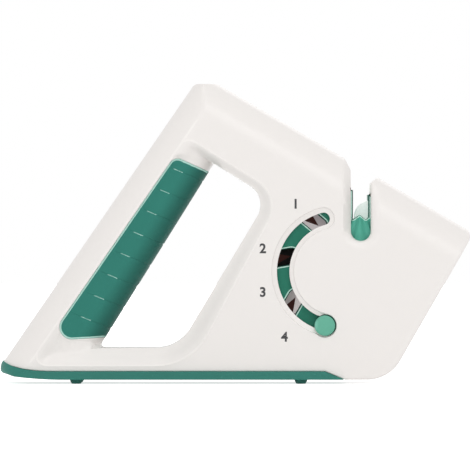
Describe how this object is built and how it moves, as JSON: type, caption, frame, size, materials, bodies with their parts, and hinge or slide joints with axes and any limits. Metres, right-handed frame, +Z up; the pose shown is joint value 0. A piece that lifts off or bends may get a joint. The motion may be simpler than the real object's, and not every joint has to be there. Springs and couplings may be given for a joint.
{
  "type": "knife and scissor sharpener",
  "caption": "Hand-held pull-through sharpener: casing with a gripped handle, a slot for the blade, and a turning drum of stations chosen by a knob on a curved slot.",
  "frame": {"origin": "on the table, below the middle of the body's length and thickness", "axes": "+X along the body from the handle to the nose, +Y from the dial side to the far side, +Z up"},
  "size_m": [0.2, 0.0484, 0.1274],
  "materials": {
    "casing_plastic": "satin white ABS",
    "grip_rubber": "soft matt rubber",
    "base_plastic": "matt moulded plastic",
    "foot_rubber": "matt rubber",
    "drum_plastic": "satin moulded plastic",
    "knob_plastic": "satin moulded plastic",
    "steel": "zinc plated steel",
    "carbide": "ground tungsten carbide",
    "diamond_coating": "dark diamond grit on steel",
    "grey_ceramic": "fine matt ceramic",
    "white_ceramic": "matt white ceramic"
  },
  "bodies": {
    "casing": {"near_casing": "casing_plastic", "far_casing": "casing_plastic", "handle_grip": "grip_rubber", "base_plate": "base_plastic", "foot_1": "foot_rubber", "foot_2": "foot_rubber", "foot_3": "foot_rubber", "foot_4": "foot_rubber", "casing_screw_1": "steel", "casing_screw_2": "steel", "casing_screw_3": "steel", "casing_screw_4": "steel", "casing_screw_5": "steel", "base_screw_1": "steel", "base_screw_2": "steel", "base_screw_3": "steel", "base_screw_4": "steel", "axle_pin": "steel", "near_washer": "steel", "far_washer": "steel", "detent_spring": "steel"},
    "drum": {"drum_near_half": "drum_plastic", "drum_far_half": "drum_plastic", "selector_knob": "knob_plastic", "drum_screw_1": "steel", "drum_screw_2": "steel", "drum_screw_3": "steel", "finish_plate_near": "grey_ceramic", "finish_plate_far": "grey_ceramic", "fine_plate_near": "diamond_coating", "fine_plate_far": "diamond_coating", "coarse_plate_near": "carbide", "coarse_plate_far": "carbide", "scissor_stone": "white_ceramic", "stone_pin": "steel"}
  },
  "joints": [
    {"name": "drum_turn", "type": "hinge", "parent": "casing", "child": "drum", "pos_m": [0.0435, 0, 0.0477], "axis": [0, 1, 0], "range_deg": [0, 150], "deforming": ["detent_spring"]}
  ]
}
